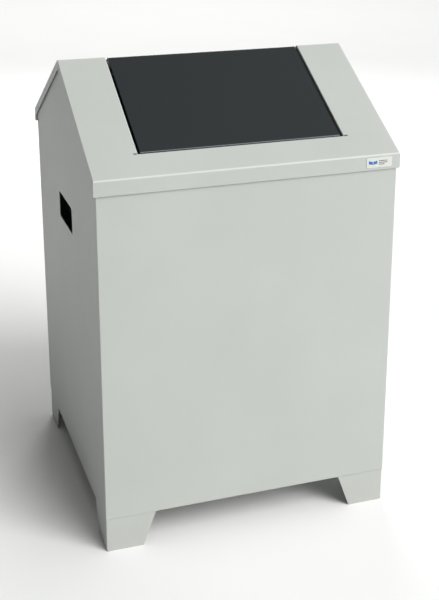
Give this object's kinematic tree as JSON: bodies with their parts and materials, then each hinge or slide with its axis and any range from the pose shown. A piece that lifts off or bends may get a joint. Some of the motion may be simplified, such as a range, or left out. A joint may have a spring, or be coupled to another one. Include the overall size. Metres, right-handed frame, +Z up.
{
  "type": "book drop box",
  "caption": "Free-standing sheet-steel book drop box with a saddle hood, a flush V-shaped swing lid, corner feet, hand holes and a lift-out inner bin.",
  "frame": {"origin": "centre of the footprint, on the floor", "axes": "+X to the right seen from the front, +Y to the back, +Z up"},
  "size_m": [0.508, 0.5068, 0.78],
  "materials": {
    "cabinet_powder_coat": "light grey satin powder coat on sheet steel",
    "hood_powder_coat": "light grey satin powder coat on sheet steel",
    "lid_powder_coat": "anthracite satin powder coat on sheet steel",
    "zinc_plate": "bright zinc plating",
    "bright_steel": "bright turned steel",
    "rubber": "matt black moulded rubber",
    "nylon": "natural moulded nylon",
    "galvanised_sheet": "hot-dip galvanised sheet steel with a fine spangle",
    "handle_wire": "bright zinc-plated steel wire",
    "plate": "off-white printed plate"
  },
  "bodies": {
    "cabinet": {"left_side_panel": "cabinet_powder_coat", "right_side_panel": "cabinet_powder_coat", "front_panel": "cabinet_powder_coat", "back_panel": "cabinet_powder_coat", "floor_panel": "cabinet_powder_coat", "left_grip_strip": "cabinet_powder_coat", "right_grip_strip": "cabinet_powder_coat"},
    "hood": {"hood": "hood_powder_coat", "left_hood_locator": "hood_powder_coat", "right_hood_locator": "hood_powder_coat", "left_pivot_bracket": "zinc_plate", "right_pivot_bracket": "zinc_plate", "left_pivot_pin": "bright_steel", "right_pivot_pin": "bright_steel", "pin_clips": "bright_steel", "left_stop_peg": "bright_steel", "right_stop_peg": "bright_steel", "left_stop_buffer": "rubber", "right_stop_buffer": "rubber", "bracket_studs": "zinc_plate", "bracket_nuts": "zinc_plate", "name_plate": "plate"},
    "lid": {"lid_shell": "lid_powder_coat", "left_lid_cheek": "lid_powder_coat", "right_lid_cheek": "lid_powder_coat", "left_lid_bush": "nylon", "right_lid_bush": "nylon"},
    "bin": {"bin_shell": "galvanised_sheet", "bin_rim": "galvanised_sheet", "left_handle_mount": "galvanised_sheet", "right_handle_mount": "galvanised_sheet", "handle_rivets": "galvanised_sheet"},
    "left_handle": {"left_handle": "handle_wire"},
    "right_handle": {"right_handle": "handle_wire"}
  },
  "joints": [
    {"name": "hood_lift", "type": "slide", "parent": "cabinet", "child": "hood", "axis": [0, 0, 1], "range_m": [0, 0.3]},
    {"name": "lid_swing", "type": "hinge", "parent": "hood", "child": "lid", "pos_m": [0, 0, 0.748], "axis": [1, 0, 0], "range_deg": [-50, 50]},
    {"name": "bin_lift", "type": "slide", "parent": "cabinet", "child": "bin", "axis": [0, 0, 1], "range_m": [0, 0.27]},
    {"name": "left_handle_swing", "type": "hinge", "parent": "bin", "child": "left_handle", "pos_m": [-0.2023, 0, 0.438], "axis": [0, -1, 0], "range_deg": [0, 120]},
    {"name": "right_handle_swing", "type": "hinge", "parent": "bin", "child": "right_handle", "pos_m": [0.2023, 0, 0.438], "axis": [0, 1, 0], "range_deg": [0, 120]}
  ],
  "couplings": [
    {"joint": "bin_lift", "follows": "hood_lift", "ratio": 0.9}
  ]
}
